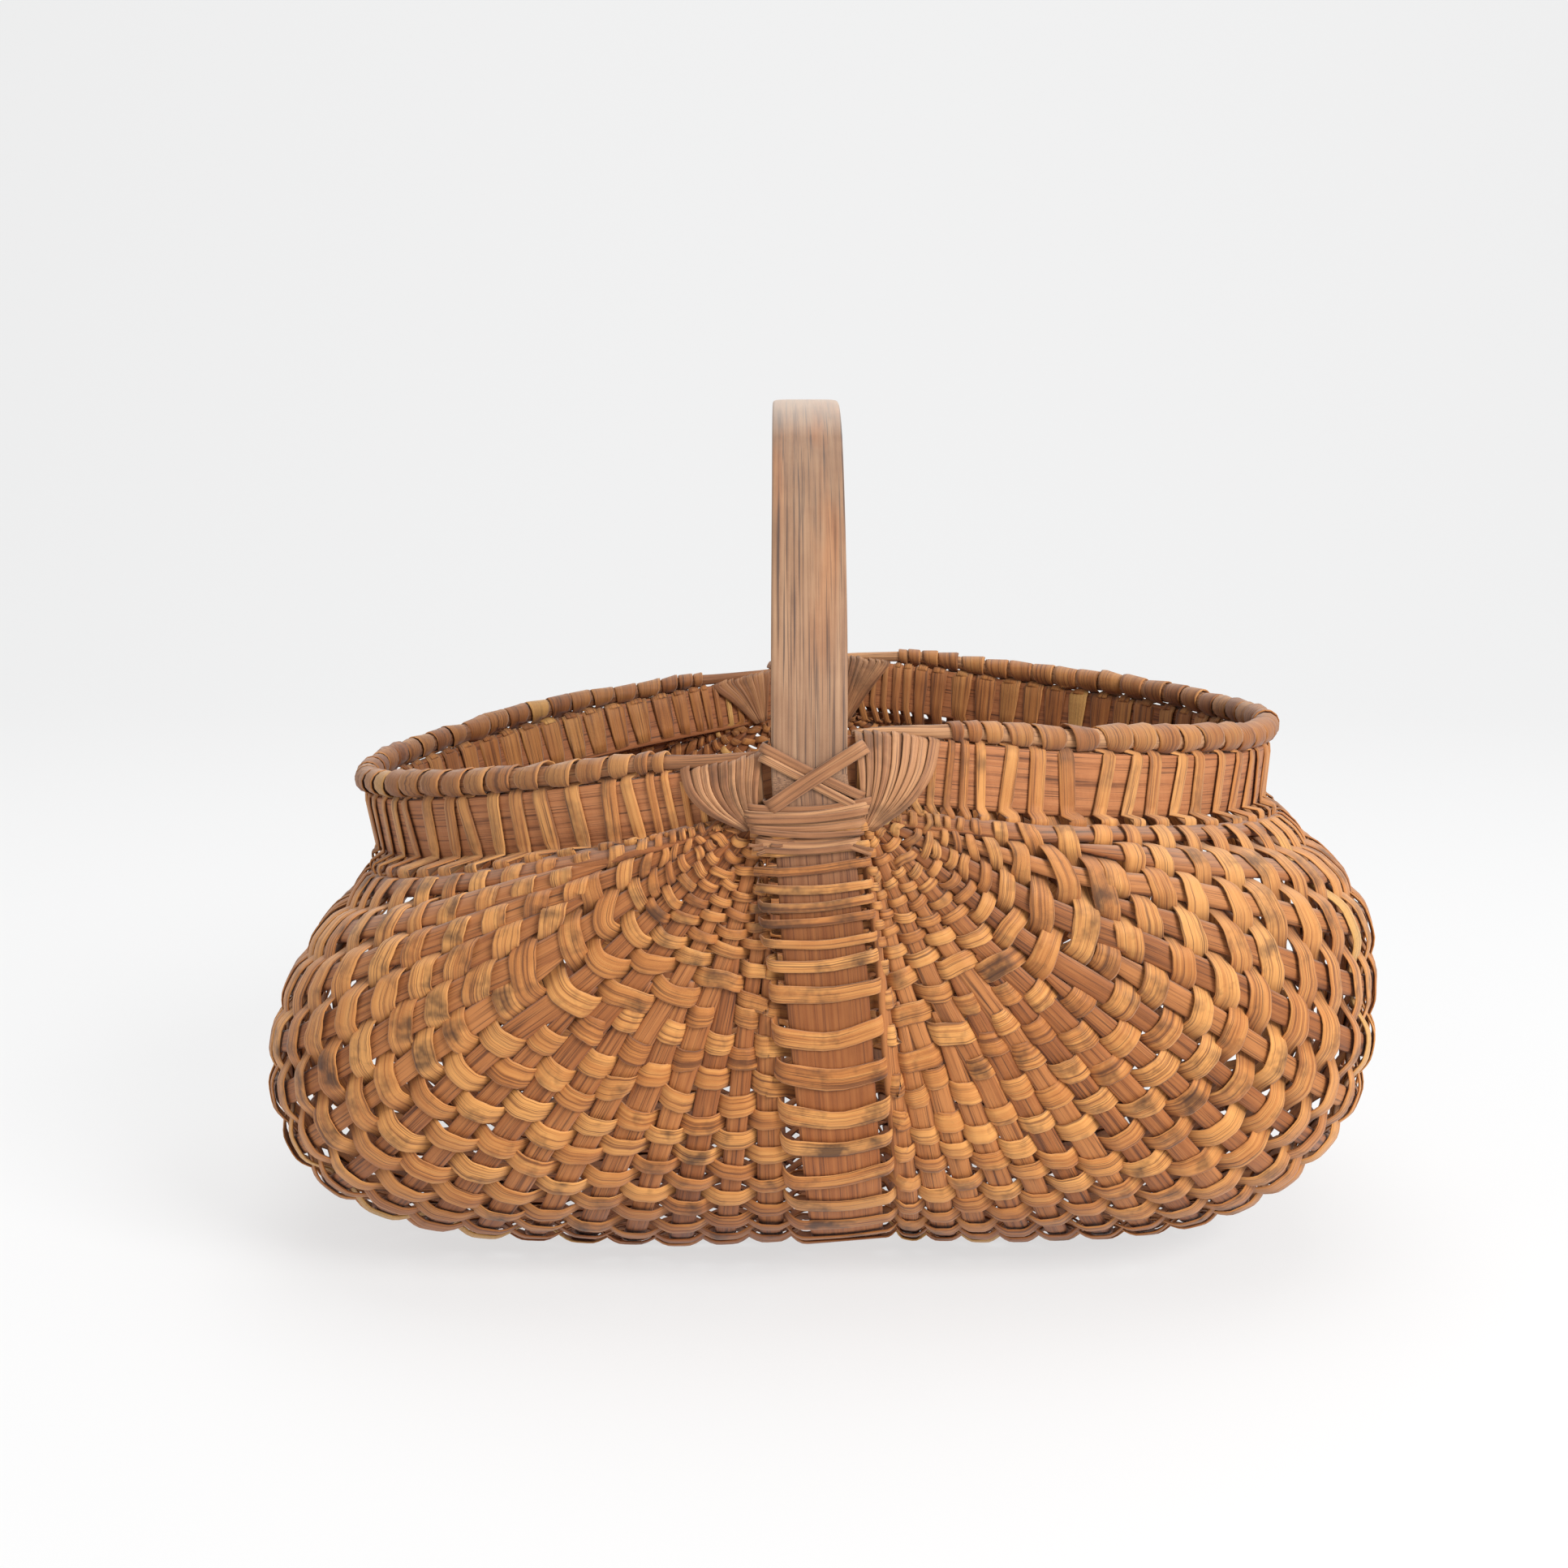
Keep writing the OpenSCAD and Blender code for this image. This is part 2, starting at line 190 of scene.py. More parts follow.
# ---------------------------------------------------------------- meshes
class Build:
    """Collects swept strips and rods into one mesh, with its fibre direction as an attribute."""

    def __init__(self, name, node, slot, material):
        self.name, self.node, self.slot, self.material = name, node, slot, material
        self.v, self.f, self.fibre, self.wear_and_shade = [], [], [], []
        self.count = 0

    def sweep(self, centre, side, out, half_w, half_t, section, seed, wear_and_shade=None, closed=False, start=0.0):
        centre = np.asarray(centre, float)
        n, m = len(centre), len(section)
        half_w = np.broadcast_to(half_w, n)
        half_t = np.broadcast_to(half_t, n)
        sec = np.array(section, float)
        v = (centre[:, None] + side[:, None] * (half_w[:, None] * sec[None, :, 0])[..., None]
             + out[:, None] * (half_t[:, None] * sec[None, :, 1])[..., None])
        length = np.concatenate([[0], np.cumsum(np.linalg.norm(np.diff(centre, axis=0), axis=1))]) + start
        around = half_w[:, None] * sec[None, :, 0]
        self.v.append(v.reshape(-1, 3))
        fib = np.stack([np.repeat(length, m), around.reshape(-1), np.full(n * m, float(seed))], -1)
        self.fibre.append(fib)
        w = np.zeros(n) if wear_and_shade is None else np.asarray(wear_and_shade, float)
        # over-and-under value, flipped on a strip's inner face: its negative side is painted shade in the
        # materials, its positive side handling stains
        self.wear_and_shade.append(np.repeat(w, m) * np.tile(np.clip(sec[:, 1] * 1.5 + 0.2, -1, 1), n))
        i = np.arange(n if closed else n - 1)
        k = np.arange(m)
        a = (i[:, None] * m + k[None, :])
        b = (i[:, None] * m + (k[None, :] + 1) % m)
        nxt = ((i[:, None] + 1) % n) * m
        quads = np.stack([a, b, nxt + (k[None, :] + 1) % m, nxt + k[None, :]], -1).reshape(-1, 4) + self.count
        self.f.extend(quads.tolist())
        if not closed:
            self.f.append([self.count + x for x in range(m - 1, -1, -1)])
            self.f.append([self.count + (n - 1) * m + x for x in range(m)])
        self.count += n * m

    def finish(self):
        v = np.vstack(self.v)
        v[:, 0] += SHIFT_X
        mesh = bpy.data.meshes.new(self.name)
        mesh.from_pydata((v * MM).tolist(), [], self.f)
        fib = mesh.attributes.new("fibre", "FLOAT_VECTOR", "POINT")
        fib.data.foreach_set("vector", (np.vstack(self.fibre) * [MM, MM, 1]).ravel())
        wear_and_shade = mesh.attributes.new("wear_and_shade", "FLOAT", "POINT")
        wear_and_shade.data.foreach_set("value", np.concatenate(self.wear_and_shade))
        mesh.polygons.foreach_set("use_smooth", [True] * len(mesh.polygons))
        mesh.materials.append(self.material)
        mesh.validate()
        mesh.update()
        obj = bpy.data.objects.new(self.name, mesh)
        bpy.context.scene.collection.objects.link(obj)
        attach(obj, "root")
        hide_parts(self.node)
        return obj


def frames_along(path, side):
    """Unit side and outward vectors for a path whose strip lies across side."""
    path = np.asarray(path, float)
    tangent = unit(np.gradient(path, axis=0))
    side = unit(side - tangent * np.sum(side * tangent, -1, keepdims=True))
    return side, unit(np.cross(tangent, side))


def flat_oval(n=12, power=2.6):
    """Points of a flat rounded section, unit half width and half thickness."""
    pts = []
    for k in range(n):
        a = 2 * math.pi * (k + 0.5) / n
        c, s = math.cos(a), math.sin(a)
        pts.append((math.copysign(abs(c) ** (2 / power), c), math.copysign(abs(s) ** (2 / power), s)))
    return pts


STRAP = [(-1, 0.05), (-0.9, 0.75), (-0.45, 1.15), (0.45, 1.15), (0.9, 0.75), (1, 0.05),
         (0.8, -0.7), (-0.8, -0.7)]
RIB = flat_oval(12, 2.8)
ROUND = flat_oval(12, 2.0)
BAR = flat_oval(20, 7.0)


# ---------------------------------------------------------------- materials
def node_material(name, dark, mid, light, line_dark, rough=(0.5, 0.78), dust=0.0, stain=0.5, fibre_scale=1.0,
                  bump=0.55, handle=False, specular=0.32, aged_and_low_shade=0.0, straw=0.0):
    """Split oak: long fibres along the strip, colour from strip to strip, stains and worn edges, and painted
    shade where a strip dives under, inside the basket and towards the bottom.
    """
    mat = bpy.data.materials.new(name)
    mat.use_nodes = True
    nt = mat.node_tree
    nt.nodes.clear()
    n, link = nt.nodes, nt.links

    def new(kind, **props):
        node = n.new(kind)
        for key, value in props.items():
            setattr(node, key, value)
        return node

    def plug(a, b):
        link.new(a, b)

    def ramp(fac, stops):
        node = new("ShaderNodeValToRGB")
        els = node.color_ramp.elements
        while len(els) < len(stops):
            els.new(0.5)
        for e, (pos, col) in zip(els, stops):
            e.position = pos
            e.color = (*col, 1) if len(col) == 3 else col
        plug(fac, node.inputs[0])
        return node.outputs[0]

    def rise(fac, low, high):
        return ramp(fac, [(low, (0, 0, 0)), (high, (1, 1, 1))])

    def fall(fac, low, high):
        return ramp(fac, [(low, (1, 1, 1)), (high, (0, 0, 0))])

    def math_node(op, a, b=None, clamp=False):
        node = new("ShaderNodeMath", operation=op, use_clamp=clamp)
        for i, value in enumerate((a, b)):
            if value is None:
                continue
            if isinstance(value, (int, float)):
                node.inputs[i].default_value = value
            else:
                plug(value, node.inputs[i])
        return node.outputs[0]

    def mix(kind, fac, a, b):
        node = new("ShaderNodeMix", data_type="RGBA", blend_type=kind)
        for sock, value in ((node.inputs[0], fac), (node.inputs[6], a), (node.inputs[7], b)):
            if isinstance(value, (int, float)):
                sock.default_value = value
            elif isinstance(value, tuple):
                sock.default_value = (*value, 1)
            else:
                plug(value, sock)
        return node.outputs[2]

    def noise(vector, scale, detail=3.0, rough_=0.55):
        node = new("ShaderNodeTexNoise")
        node.inputs["Scale"].default_value = scale
        node.inputs["Detail"].default_value = detail
        node.inputs["Roughness"].default_value = rough_
        plug(vector, node.inputs["Vector"])
        return node.outputs["Fac"]

    def stretched(vector, along, across, strand):
        node = new("ShaderNodeVectorMath", operation="MULTIPLY")
        plug(vector, node.inputs[0])
        node.inputs[1].default_value = (along, across, strand)
        return node.outputs[0]

    fibre = new("ShaderNodeAttribute", attribute_name="fibre").outputs["Vector"]
    wear_and_shade = new("ShaderNodeAttribute", attribute_name="wear_and_shade").outputs["Fac"]
    position = new("ShaderNodeTexCoord").outputs["Object"]
    sep = new("ShaderNodeSeparateXYZ")
    plug(fibre, sep.inputs[0])
    strand = sep.outputs[2]

    fine = noise(stretched(fibre, 28 * fibre_scale, 2600 * fibre_scale, 7.3), 1.0, 3.0, 0.6)
    coarse = noise(stretched(fibre, 22 * fibre_scale, 800 * fibre_scale, 3.1), 1.0, 2.0, 0.5)
    blotch = noise(stretched(fibre, 60, 120, 5.7), 1.0, 3.0, 0.6)
    drift = noise(position, 14.0, 2.0)
    white = new("ShaderNodeTexWhiteNoise", noise_dimensions="1D")
    plug(strand, white.inputs["W"])

    tone = math_node("ADD", math_node("MULTIPLY", white.outputs["Value"], 0.42),
                     math_node("MULTIPLY", math_node("ADD", blotch, drift), 0.42))
    tone = math_node("ADD", tone, math_node("MULTIPLY", math_node("SUBTRACT", coarse, 0.5), 0.8), clamp=True)
    base = ramp(tone, [(0.2, dark), (0.5, mid), (0.85, light)])

    lines = fall(fine, 0.34, 0.47)
    base = mix("MIX", math_node("MULTIPLY", lines, 0.74), base, line_dark)
    pores = fall(coarse, 0.3, 0.4)
    base = mix("MIX", math_node("MULTIPLY", pores, 0.5), base, line_dark)

    # painted shade where a strap dives under and on a strip's inner face, smoky handling marks where it
    # stands proud
    painted_under_shade = fall(math_node("ADD", math_node("MULTIPLY", wear_and_shade, 0.5), 0.5), 0.0, 0.62)
    base = mix("MULTIPLY", math_node("MULTIPLY", painted_under_shade, 0.9), base, (0.5, 0.43, 0.38))
    proud = rise(wear_and_shade, 0.45, 1.0)
    smoke = rise(noise(stretched(position, 1, 1, 1), 55.0, 4.0, 0.65), 0.5, 0.66)
    base = mix("MIX", math_node("MULTIPLY", math_node("MULTIPLY", proud, smoke), stain), base,
               tuple(0.42 * c for c in line_dark))
    if dust:
        up = new("ShaderNodeNewGeometry").outputs["Normal"]
        sep_up = new("ShaderNodeSeparateXYZ")
        plug(up, sep_up.inputs[0])
        facing = rise(sep_up.outputs[2], 0.45, 0.9)
        base = mix("MIX", math_node("MULTIPLY", facing, dust), base, (0.42, 0.36, 0.3))
    sep_pos = new("ShaderNodeSeparateXYZ")
    plug(position, sep_pos.inputs[0])

    def height_mask(low_z, high_z):
        node = new("ShaderNodeMapRange")
        plug(sep_pos.outputs[2], node.inputs["Value"])
        node.inputs["From Min"].default_value = low_z
        node.inputs["From Max"].default_value = high_z
        return node.outputs["Result"]

    if aged_and_low_shade:
        patchy = ramp(drift, [(0.35, (0.2, 0.2, 0.2)), (0.65, (1, 1, 1))])
        high = math_node("MULTIPLY", math_node("MULTIPLY", height_mask(0.075, 0.165), patchy), aged_and_low_shade)
        base = mix("MIX", high, base, mix("MULTIPLY", 0.6, base, (0.80, 0.86, 1.0)))
        base = mix("MIX", math_node("MULTIPLY", high, 0.3), base, rgb(128, 104, 84))
        # painted shade: darker and more orange towards the bottom of the basket
        shaded = math_node("SUBTRACT", 1.0, height_mask(-0.005, 0.045))
        base = mix("MULTIPLY", shaded, base, (0.40, 0.22, 0.08))
    # painted shade: the inside of the basket is darker, on faces turned towards its middle below the rim
    sideways = new("ShaderNodeVectorMath", operation="MULTIPLY")
    plug(position, sideways.inputs[0])
    sideways.inputs[1].default_value = (1, 1, 0)
    outward = new("ShaderNodeVectorMath", operation="NORMALIZE")
    plug(sideways.outputs[0], outward.inputs[0])
    facing_out = new("ShaderNodeVectorMath", operation="DOT_PRODUCT")
    plug(outward.outputs[0], facing_out.inputs[0])
    plug(new("ShaderNodeNewGeometry").outputs["Normal"], facing_out.inputs[1])
    painted_inside_shade = fall(math_node("ADD", facing_out.outputs["Value"], 0.6), 0.1, 0.5)
    painted_inside_shade = math_node("MULTIPLY", painted_inside_shade, math_node("SUBTRACT", 1.0, height_mask(0.178, 0.19)))
    base = mix("MULTIPLY", painted_inside_shade, base, (0.74, 0.68, 0.62))
    if handle:
        low = math_node("SUBTRACT", 1.0, height_mask(0.135, 0.180))
        warm = ramp(tone, [(0.2, rgb(110, 57, 25)), (0.5, rgb(154, 88, 41)), (0.85, rgb(182, 114, 60))])
        warm = mix("MULTIPLY", height_mask(0.05, 0.13), warm, (0.56, 0.54, 0.52))
        warm = mix("MIX", math_node("MULTIPLY", lines, 0.6), warm, rgb(78, 38, 22))
        base = mix("MIX", low, base, warm)
        patch = rise(noise(stretched(fibre, 14, 90, 1.0), 1.0, 2.0), 0.52, 0.64)
        patch = math_node("MULTIPLY", math_node("MULTIPLY", patch, height_mask(0.185, 0.25)), 0.55)
        base = mix("MIX", patch, base, mix("MULTIPLY", 0.75, base, (1.25, 0.8, 0.42)))
        base = mix("MULTIPLY", height_mask(0.215, 0.265), base, (0.74, 0.72, 0.68))
        top = rise(height_mask(0.277, 0.295), 0.1, 0.95)
        base = mix("MIX", math_node("MULTIPLY", top, 0.7), base, rgb(196, 178, 162))
    if straw:
        pick = rise(white.outputs["Value"], 0.88, 0.9)
        part = rise(noise(stretched(fibre, 7, 0, 9.1), 1.0, 1.0), 0.5, 0.56)
        pale = math_node("MULTIPLY", math_node("MULTIPLY", pick, part), straw)
        straw_lines = math_node("MULTIPLY", lines, 0.5)
        base = mix("MIX", pale, base, mix("MIX", straw_lines, rgb(204, 160, 92), rgb(150, 104, 52)))

    bsdf = new("ShaderNodeBsdfPrincipled")
    plug(base, bsdf.inputs["Base Color"])
    rough_here = math_node("ADD", rough[0], math_node("MULTIPLY", fine, rough[1] - rough[0]))
    plug(rough_here, bsdf.inputs["Roughness"])
    bsdf.inputs["Specular IOR Level"].default_value = specular
    bsdf.inputs["Sheen Weight"].default_value = 0.12
    bump_node = new("ShaderNodeBump")
    bump_node.inputs["Strength"].default_value = bump
    bump_node.inputs["Distance"].default_value = 0.0003
    height = math_node("ADD", math_node("MULTIPLY", fine, 0.6), math_node("MULTIPLY", coarse, 0.8))
    plug(height, bump_node.inputs["Height"])
    plug(bump_node.outputs[0], bsdf.inputs["Normal"])
    out = new("ShaderNodeOutputMaterial")
    plug(bsdf.outputs[0], out.inputs[0])
    return mat


def rgb(r, g, b):
    """sRGB 0-255 to linear."""
    return tuple(((c / 255 + 0.055) / 1.055) ** 2.4 if c > 10 else c / 3294 for c in (r, g, b))


SPLINT = node_material("weaver_splint", rgb(120, 66, 29), rgb(180, 112, 54), rgb(214, 150, 82),
                       rgb(76, 39, 18), dust=0.12, stain=0.8, aged_and_low_shade=0.5, straw=0.75)
BINDING = node_material("binding_splint", rgb(104, 66, 42), rgb(152, 102, 66), rgb(186, 136, 94),
                        rgb(66, 40, 26), dust=0.1, stain=0.6)
RIB_WOOD = node_material("rib_wood", rgb(108, 58, 26), rgb(156, 92, 45), rgb(190, 123, 67), rgb(58, 29, 15),
                         dust=0.3, stain=0.1, aged_and_low_shade=0.4)
BAND_WOOD = node_material("rim_wood", rgb(116, 62, 34), rgb(160, 96, 54), rgb(186, 122, 76), rgb(60, 32, 20),
                          stain=0.2, fibre_scale=0.8)
ROD_WOOD = node_material("rod_wood", rgb(120, 76, 46), rgb(158, 108, 70), rgb(188, 140, 98), rgb(74, 46, 30),
                         stain=0.3)
HANDLE_WOOD = node_material("handle_wood", rgb(104, 74, 53), rgb(150, 112, 84), rgb(182, 145, 113),
                            rgb(58, 46, 46), stain=0.0, fibre_scale=0.75, handle=True, bump=0.55)

# ---------------------------------------------------------------- rim, rods and handle
RIM = {1: (TH_TAB[0], R_TAB[0]), -1: (TH_TAB[-1], R_TAB[-1])}


def rim_frame(side, phi):
    """Point, direction, outward and up of the rim's band at angle phi, on one side."""
    theta, radius = RIM[side]
    phi = np.asarray(phi, float)
    ones = np.ones_like(phi)
    p = curve(theta * ones, radius * ones, RIM_SQUARE * ones, HALF_DEPTH * ones, phi)
    e = 0.004
    h = unit(curve(theta * ones, radius * ones, RIM_SQUARE * ones, HALF_DEPTH * ones, phi + e)
             - curve(theta * ones, radius * ones, RIM_SQUARE * ones, HALF_DEPTH * ones, phi - e))
    reach = radius * np.sin(phi)
    flat = unit(np.array([math.sin(theta), 0, math.cos(theta)])) * side
    upright = np.exp(-(reach / 30) ** 2)
    up = unit(flat * (1 - upright)[..., None] + np.array([0, 0, 1.0]) * upright[..., None])
    p = p + up * (side * RIM_LIFT * np.tanh(reach / 14) * np.exp(-(reach / 80) ** 2))[..., None]
    out = unit(np.cross(up, h))
    out = out * np.sign(np.sum(out * (p - np.array([0, 0, EAR])), -1, keepdims=True))
    return p, h, out, up


def rod_radius(phi):
    x = np.clip((np.minimum(phi, math.pi - phi) - math.radians(4)) / math.radians(38), 0, 1)
    return ROD_TIP_R + (ROD_R - ROD_TIP_R) * x ** 0.8


def rod_centre(side, phi):
    p, h, out, up = rim_frame(side, phi)
    r = rod_radius(phi)
    wave = 0.35 * np.sin(9 * phi + side) + 0.25 * np.sin(23 * phi)
    reach = RIM[side][1] * np.sin(phi)
    slit = 1.5 * smooth((reach - 26) / 24) - 1.6 * (1 - smooth((reach - 8) / 26))
    return p + up * (BAND_H / 2 + r + wave * smooth((reach - 12) / 30) + slit)[..., None], h, out, up, r


def build_rim():
    band = Build("Rim_hoop", "rim_hoop", "rim_wood", BAND_WOOD)
    right = np.radians(np.linspace(0.8, 179.2, 150))
    p1, _, o1, u1 = rim_frame(1, right)
    p2, _, o2, u2 = rim_frame(-1, right[::-1])
    band.sweep(np.vstack([p1, p2]), np.vstack([u1, u2]), np.vstack([o1, o2]),
               BAND_H / 2, BAND_T / 2, BAR, 3, closed=True)
    band.finish()
    for side, name in ((1, "right"), (-1, "left")):
        rod = Build(f"Rim_rod_{name}", f"rim_rod_{name}", "rod_wood", ROD_WOOD)
        phi = np.radians(np.linspace(4.4, 175.6, 170))
        p, _, out, up, r = rod_centre(side, phi)
        rod.sweep(p, up, out, r, r * (0.75 + 0.25 * np.clip(r / ROD_R, 0, 1)), ROUND, 5 + side)
        rod.finish()


def build_handle():
    hoop = Build("Handle_hoop", "handle_hoop", "handle_wood", HANDLE_WOOD)
    top_phi = np.radians(np.linspace(0, 180, 110))
    low_phi = np.radians(np.linspace(180, 0, 130))
    ones = np.ones_like
    top = curve(-math.pi / 2 * ones(top_phi), (HANDLE_RISE - HOOP_T / 2) * ones(top_phi), 2.2 * ones(top_phi),
                HOOP_DEPTH * ones(top_phi), top_phi)
    low = curve(SPINE_TURN * ones(low_phi), SPINE_RADIUS * ones(low_phi), BELLY_SQUARE * ones(low_phi),
                HOOP_DEPTH * ones(low_phi), low_phi)
    path = np.vstack([top[:-1], low[:-1]])
    n = len(path)
    tangent = unit(np.roll(path, -1, 0) - np.roll(path, 1, 0))
    below = np.clip((EAR - path[:, 2]) / 60, 0, 1)
    lean = below * math.radians(SPINE_LEAN)
    side = unit(np.stack([np.cos(lean), 0 * below, np.sin(lean)], -1))
    side = unit(side - tangent * np.sum(side * tangent, -1, keepdims=True))
    out = unit(np.cross(side, tangent))
    i = np.arange(n)
    width = 11.2 + 1.1 * below + 0.25 * np.sin(i / 17) + 0.15 * np.sin(i / 7 + 1)
    hoop.sweep(path, side, out, width, HOOP_T / 2, BAR, 11, closed=True)
    hoop.finish()


# ---------------------------------------------------------------- ribs
def rib_places():
    """Where each rib crosses the middle section, with its side and number, from the right rim."""
    places = []
    for side, count, close in ((1, 17, 0.3), (-1, 16, 0.12)):
        for i in range(count):
            x = i / (count - 1)
            f = 0.065 + 0.905 * ((1 + close) * x - close * x * x)
            s = f * S_RIGHT if side > 0 else S_END - f * (S_END - S_LEFT)
            places.append((s, side, i))
    return sorted(places)


PLACES = rib_places()


def reach_of(s, phi):
    """Distance from the ear axis on a rib at s."""
    theta = np.interp(s, S_TAB, TH_TAB)
    radius = np.interp(s, S_TAB, R_TAB)
    q = squareness(theta)
    c, r = np.cos(phi), np.sin(phi)
    return radius * r * (np.abs(r) ** q + np.abs(c) ** q) ** (-1 / q)


def parting(side, i):
    """Angle about the basket at which the second rib of a pair leaves the first."""
    return math.radians(24.5 + 3.0 * math.sin(2.1 * (i // 4) + side))


def joining(side, i):
    """Angle about the basket at which every second pair of ribs comes in."""
    return math.radians(10.0 + 1.5 * math.sin(2.0 * (i // 8) + side))


def clear_of_band(s0):
    """Distance from the ear axis at which a rib comes out below the rim's band."""
    theta = float(np.interp(s0, S_TAB, TH_TAB))
    reach = np.arange(12.0, 90.0)
    turn = np.abs(fan_turn(theta, reach) - RIM[1 if s0 < S_SPINE else -1][0])
    behind = np.nonzero(reach * np.sin(turn) < BAND_H / 2 + 0.8)[0]
    return float(reach[behind[-1]]) + 1 if len(behind) else 12.0


def band_edge(side, phi):
    """Where the weave comes out below the rim's band, as a place on the middle section."""
    s = np.linspace(11, 150, 60)
    s = s if side > 0 else S_END - s
    reach = reach_of(s, row_line(s, phi))
    turn = np.abs(fan_turn(np.interp(s, S_TAB, TH_TAB), reach) - RIM[side][0])
    drop = reach * np.sin(turn)
    low = np.nonzero(drop > BAND_H / 2 + 0.6)[0]
    return float(s[low[0]] if len(low) else s[-1])


def rib_start(s0, side, i):
    if i % 2:
        start = reach_of(s0, parting(side, i)) - 18
    elif i % 4 == 2:
        start = reach_of(s0, row_line(np.array([s0]), joining(side, i))[0]) - 5
    else:
        start = 12.0
    return min(86, max(start, clear_of_band(s0)))


def rib_line(s0, side, i, phi):
    """Where a rib runs: alone near the ear, and beside its second rib further out."""
    mate = [s for s, sd, k in PLACES if sd == side and k == i + 1]
    if i % 2 or not mate:
        return s0 + 0 * phi
    t = smooth((reach_of(s0, phi) - reach_of(s0, parting(side, i)) + 36) / 50)
    return s0 + (mate[0] - s0) * 0.5 * (1 - t)


def build_ribs():
    rng = random.Random(71)
    for s0, side, i in PLACES:
        label = "right" if side > 0 else "left"
        rib = Build(f"Rib_{label}_{i + 1:02d}", f"rib_{label}_{i + 1:02d}", "rib_wood", RIB_WOOD)
        phi = np.radians(np.linspace(1.5, 178.5, 240))
        start = rib_start(s0, side, i)
        phi = phi[reach_of(s0, phi) > start]
        wob = 0.8 * np.sin(3.1 * phi + rng.uniform(0, 6)) + 0.4 * np.sin(8 * phi + rng.uniform(0, 6))
        p, along, out = belly(rib_line(s0, side, i, phi) + wob * np.sin(phi), phi)
        reach = reach_of(s0, phi)
        width = rng.uniform(0.88, 1.14) * RIB_W / 2
        tip = 2.4 if i == 0 else 1.2 if i % 2 == 0 else 0.7
        full = 96 if i % 2 == 0 else start + 36
        grow = np.clip((reach - start) / (full - start), 0, 1)
        uneven = 1 + 0.05 * np.sin(7 * phi + i) + 0.03 * np.sin(19 * phi + 2 * i)
        half = (tip + (width - tip) * grow ** 0.85) * uneven
        thick = RIB_T / 2 * (0.5 + 0.5 * np.clip(grow * 2.2, 0, 1))
        girth = unit(np.cross(along, out))
        rib.sweep(p, girth, out, half, thick, RIB, 20 + i + 40 * (side > 0))
        rib.finish()


# ---------------------------------------------------------------- weavers
def row_angles(rng):
    """Angle of each row about the basket, close together at the ears, uneven as woven by hand."""
    phi = np.radians(np.linspace(0, 90, 600))
    ones = np.ones_like(phi)
    line = curve(1.2 * ones, 178 * ones, BELLY_SQUARE * ones, HALF_DEPTH * ones, phi)
    length = np.concatenate([[0], np.cumsum(np.linalg.norm(np.diff(line, axis=0), axis=1))])
    half = ROWS // 2
    out = []
    for _ in range(2):
        gaps = [(2.6 if k < 14 else 3.8 if k < 16 else 5.0 if k < 18 else 6.3) * rng.uniform(0.86, 1.14)
                for k in range(half)]
        fit = (length[-1] - FIRST_ROW) / sum(gaps)
        places, run = [], FIRST_ROW
        for g in gaps:
            places.append(float(np.degrees(np.interp(run + g * fit / 2, length, phi))))
            run += g * fit
        out.append(places)
    return out[0] + [180 - a for a in reversed(out[1])]


def build_weavers():
    rng = random.Random(2024)
    angles = row_angles(rng)
    half = ROWS // 2
    builds = {}
    for k in range(12):
        builds[k] = Build(f"Weavers_{k + 1:02d}", f"weavers_{k + 1:02d}", "weaver_splint", SPLINT)
    for r, deg in enumerate(angles):
        from_ear = r if r < half else ROWS - 1 - r
        build = builds[from_ear // 4]
        before = angles[r - 1] if r else 2 * angles[0] - angles[1]
        after = angles[r + 1] if r + 1 < ROWS else 2 * angles[-1] - angles[-2]
        weave_row(build, r, math.radians(deg), math.radians(after - before) / 2, rng)
    for b in builds.values():
        b.finish()


def row_line(s, phi):
    """Angle of a row along the middle section: straight down from the band, then round the ear."""
    edge = np.minimum(s, S_END - s)
    fall = 105 + 85 * math.exp(-(past_ear(phi) / 0.7) ** 2)
    hold = 0.35 + 0.75 * math.exp(-(past_ear(phi) / 0.45) ** 2)
    out = np.arctan2(np.sin(phi) * (SPINE_RADIUS / np.interp(s, S_TAB, R_TAB)) ** hold, np.cos(phi) + 0 * s)
    for side in (1, -1):
        near = np.nonzero((edge < 25 + fall) & ((s < S_SPINE) == (side > 0)))[0]
        if not len(near):
            continue
        p0, h, _, _ = rim_frame(side, np.array([phi]))
        grid = np.clip(phi + np.linspace(-0.5, 0.5, 31), 0.02, math.pi - 0.02)
        p = belly_raw(*np.broadcast_arrays(s[near][:, None], grid[None, :]))
        run = (p[..., :2] - p0[0, :2]) @ h[0, :2]
        below = np.array([np.interp(0, row, grid) for row in run])
        w = (1 - smooth((edge[near] - 25) / fall)) * smooth((RIM[side][1] * math.sin(phi) - 18) / 30)
        out[near] += (below - out[near]) * w
    return out


